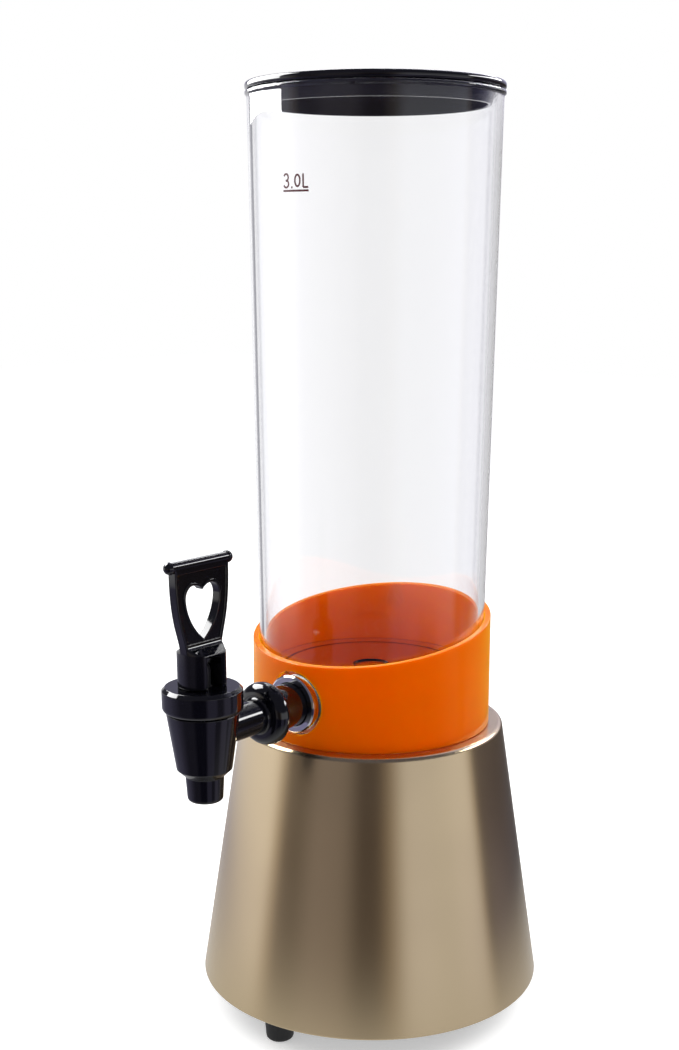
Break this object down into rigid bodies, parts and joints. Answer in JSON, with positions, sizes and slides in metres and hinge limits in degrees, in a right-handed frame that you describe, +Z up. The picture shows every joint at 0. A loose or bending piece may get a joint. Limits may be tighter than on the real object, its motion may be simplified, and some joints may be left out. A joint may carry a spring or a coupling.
{
  "type": "beverage dispenser with stand",
  "caption": "Tall clear drink dispenser with a push-in lid, slanted collar, lever tap with a heart-shaped grip hole and a tapered metal stand on rubber feet.",
  "frame": {"origin": "centre of the overall footprint, on the plane that the feet stand on", "axes": "+Z up along the tube, -Y towards the tap, +X to the right when facing the tap"},
  "size_m": [0.1938, 0.2503, 0.495],
  "materials": {
    "stand_metal": "satin champagne gold",
    "clear_plastic": "clear gloss",
    "collar_plastic": "opaque gloss orange",
    "tap_plastic": "gloss black",
    "lid_plastic": "gloss black",
    "inner_plastic": "matt black",
    "steel": "polished",
    "rubber": "matt black",
    "seal_rubber": "translucent white silicone"
  },
  "bodies": {
    "base": {"base_shell": "stand_metal", "bottom_plate": "inner_plastic", "foot_1": "rubber", "foot_2": "rubber", "foot_3": "rubber", "foot_screw_1": "steel", "foot_screw_2": "steel", "foot_screw_3": "steel", "plate_screw_1": "steel", "plate_screw_2": "steel", "plate_screw_3": "steel", "tube": "clear_plastic", "tube_washer": "rubber", "tube_nut": "inner_plastic", "collar": "collar_plastic", "floor_insert": "clear_plastic", "tap_body": "tap_plastic", "bonnet": "tap_plastic", "outer_gasket": "rubber", "inner_gasket": "rubber", "trim_ring": "steel", "shank_nut": "inner_plastic"},
    "lid": {"lid": "lid_plastic"},
    "spring": {"valve_spring": "steel"},
    "stem": {"valve_stem": "inner_plastic", "valve_cup": "seal_rubber", "handle_pin": "steel"},
    "handle": {"handle": "tap_plastic"}
  },
  "joints": [
    {"name": "lid_lift", "type": "slide", "parent": "base", "child": "lid", "axis": [0, 0, 1], "range_m": [0, 0.12]},
    {"name": "handle_turn", "type": "hinge", "parent": "base", "child": "spring", "pos_m": [0, -0.10324, 0.2236], "axis": [0, 0, 1], "continuous": true},
    {"name": "stem_lift", "type": "slide", "parent": "spring", "child": "stem", "axis": [0, 0, 1], "range_m": [0, 0.004], "stiffness_N_per_m": 300, "springref_m": -0.01, "deforming": ["valve_spring"]},
    {"name": "handle_tilt", "type": "hinge", "parent": "stem", "child": "handle", "pos_m": [0, -0.10324, 0.2236], "axis": [0, 1, 0], "range_deg": [0, 30]}
  ],
  "couplings": [
    {"joint": "handle_tilt", "follows": "stem_lift", "rad_per_m": 130}
  ]
}
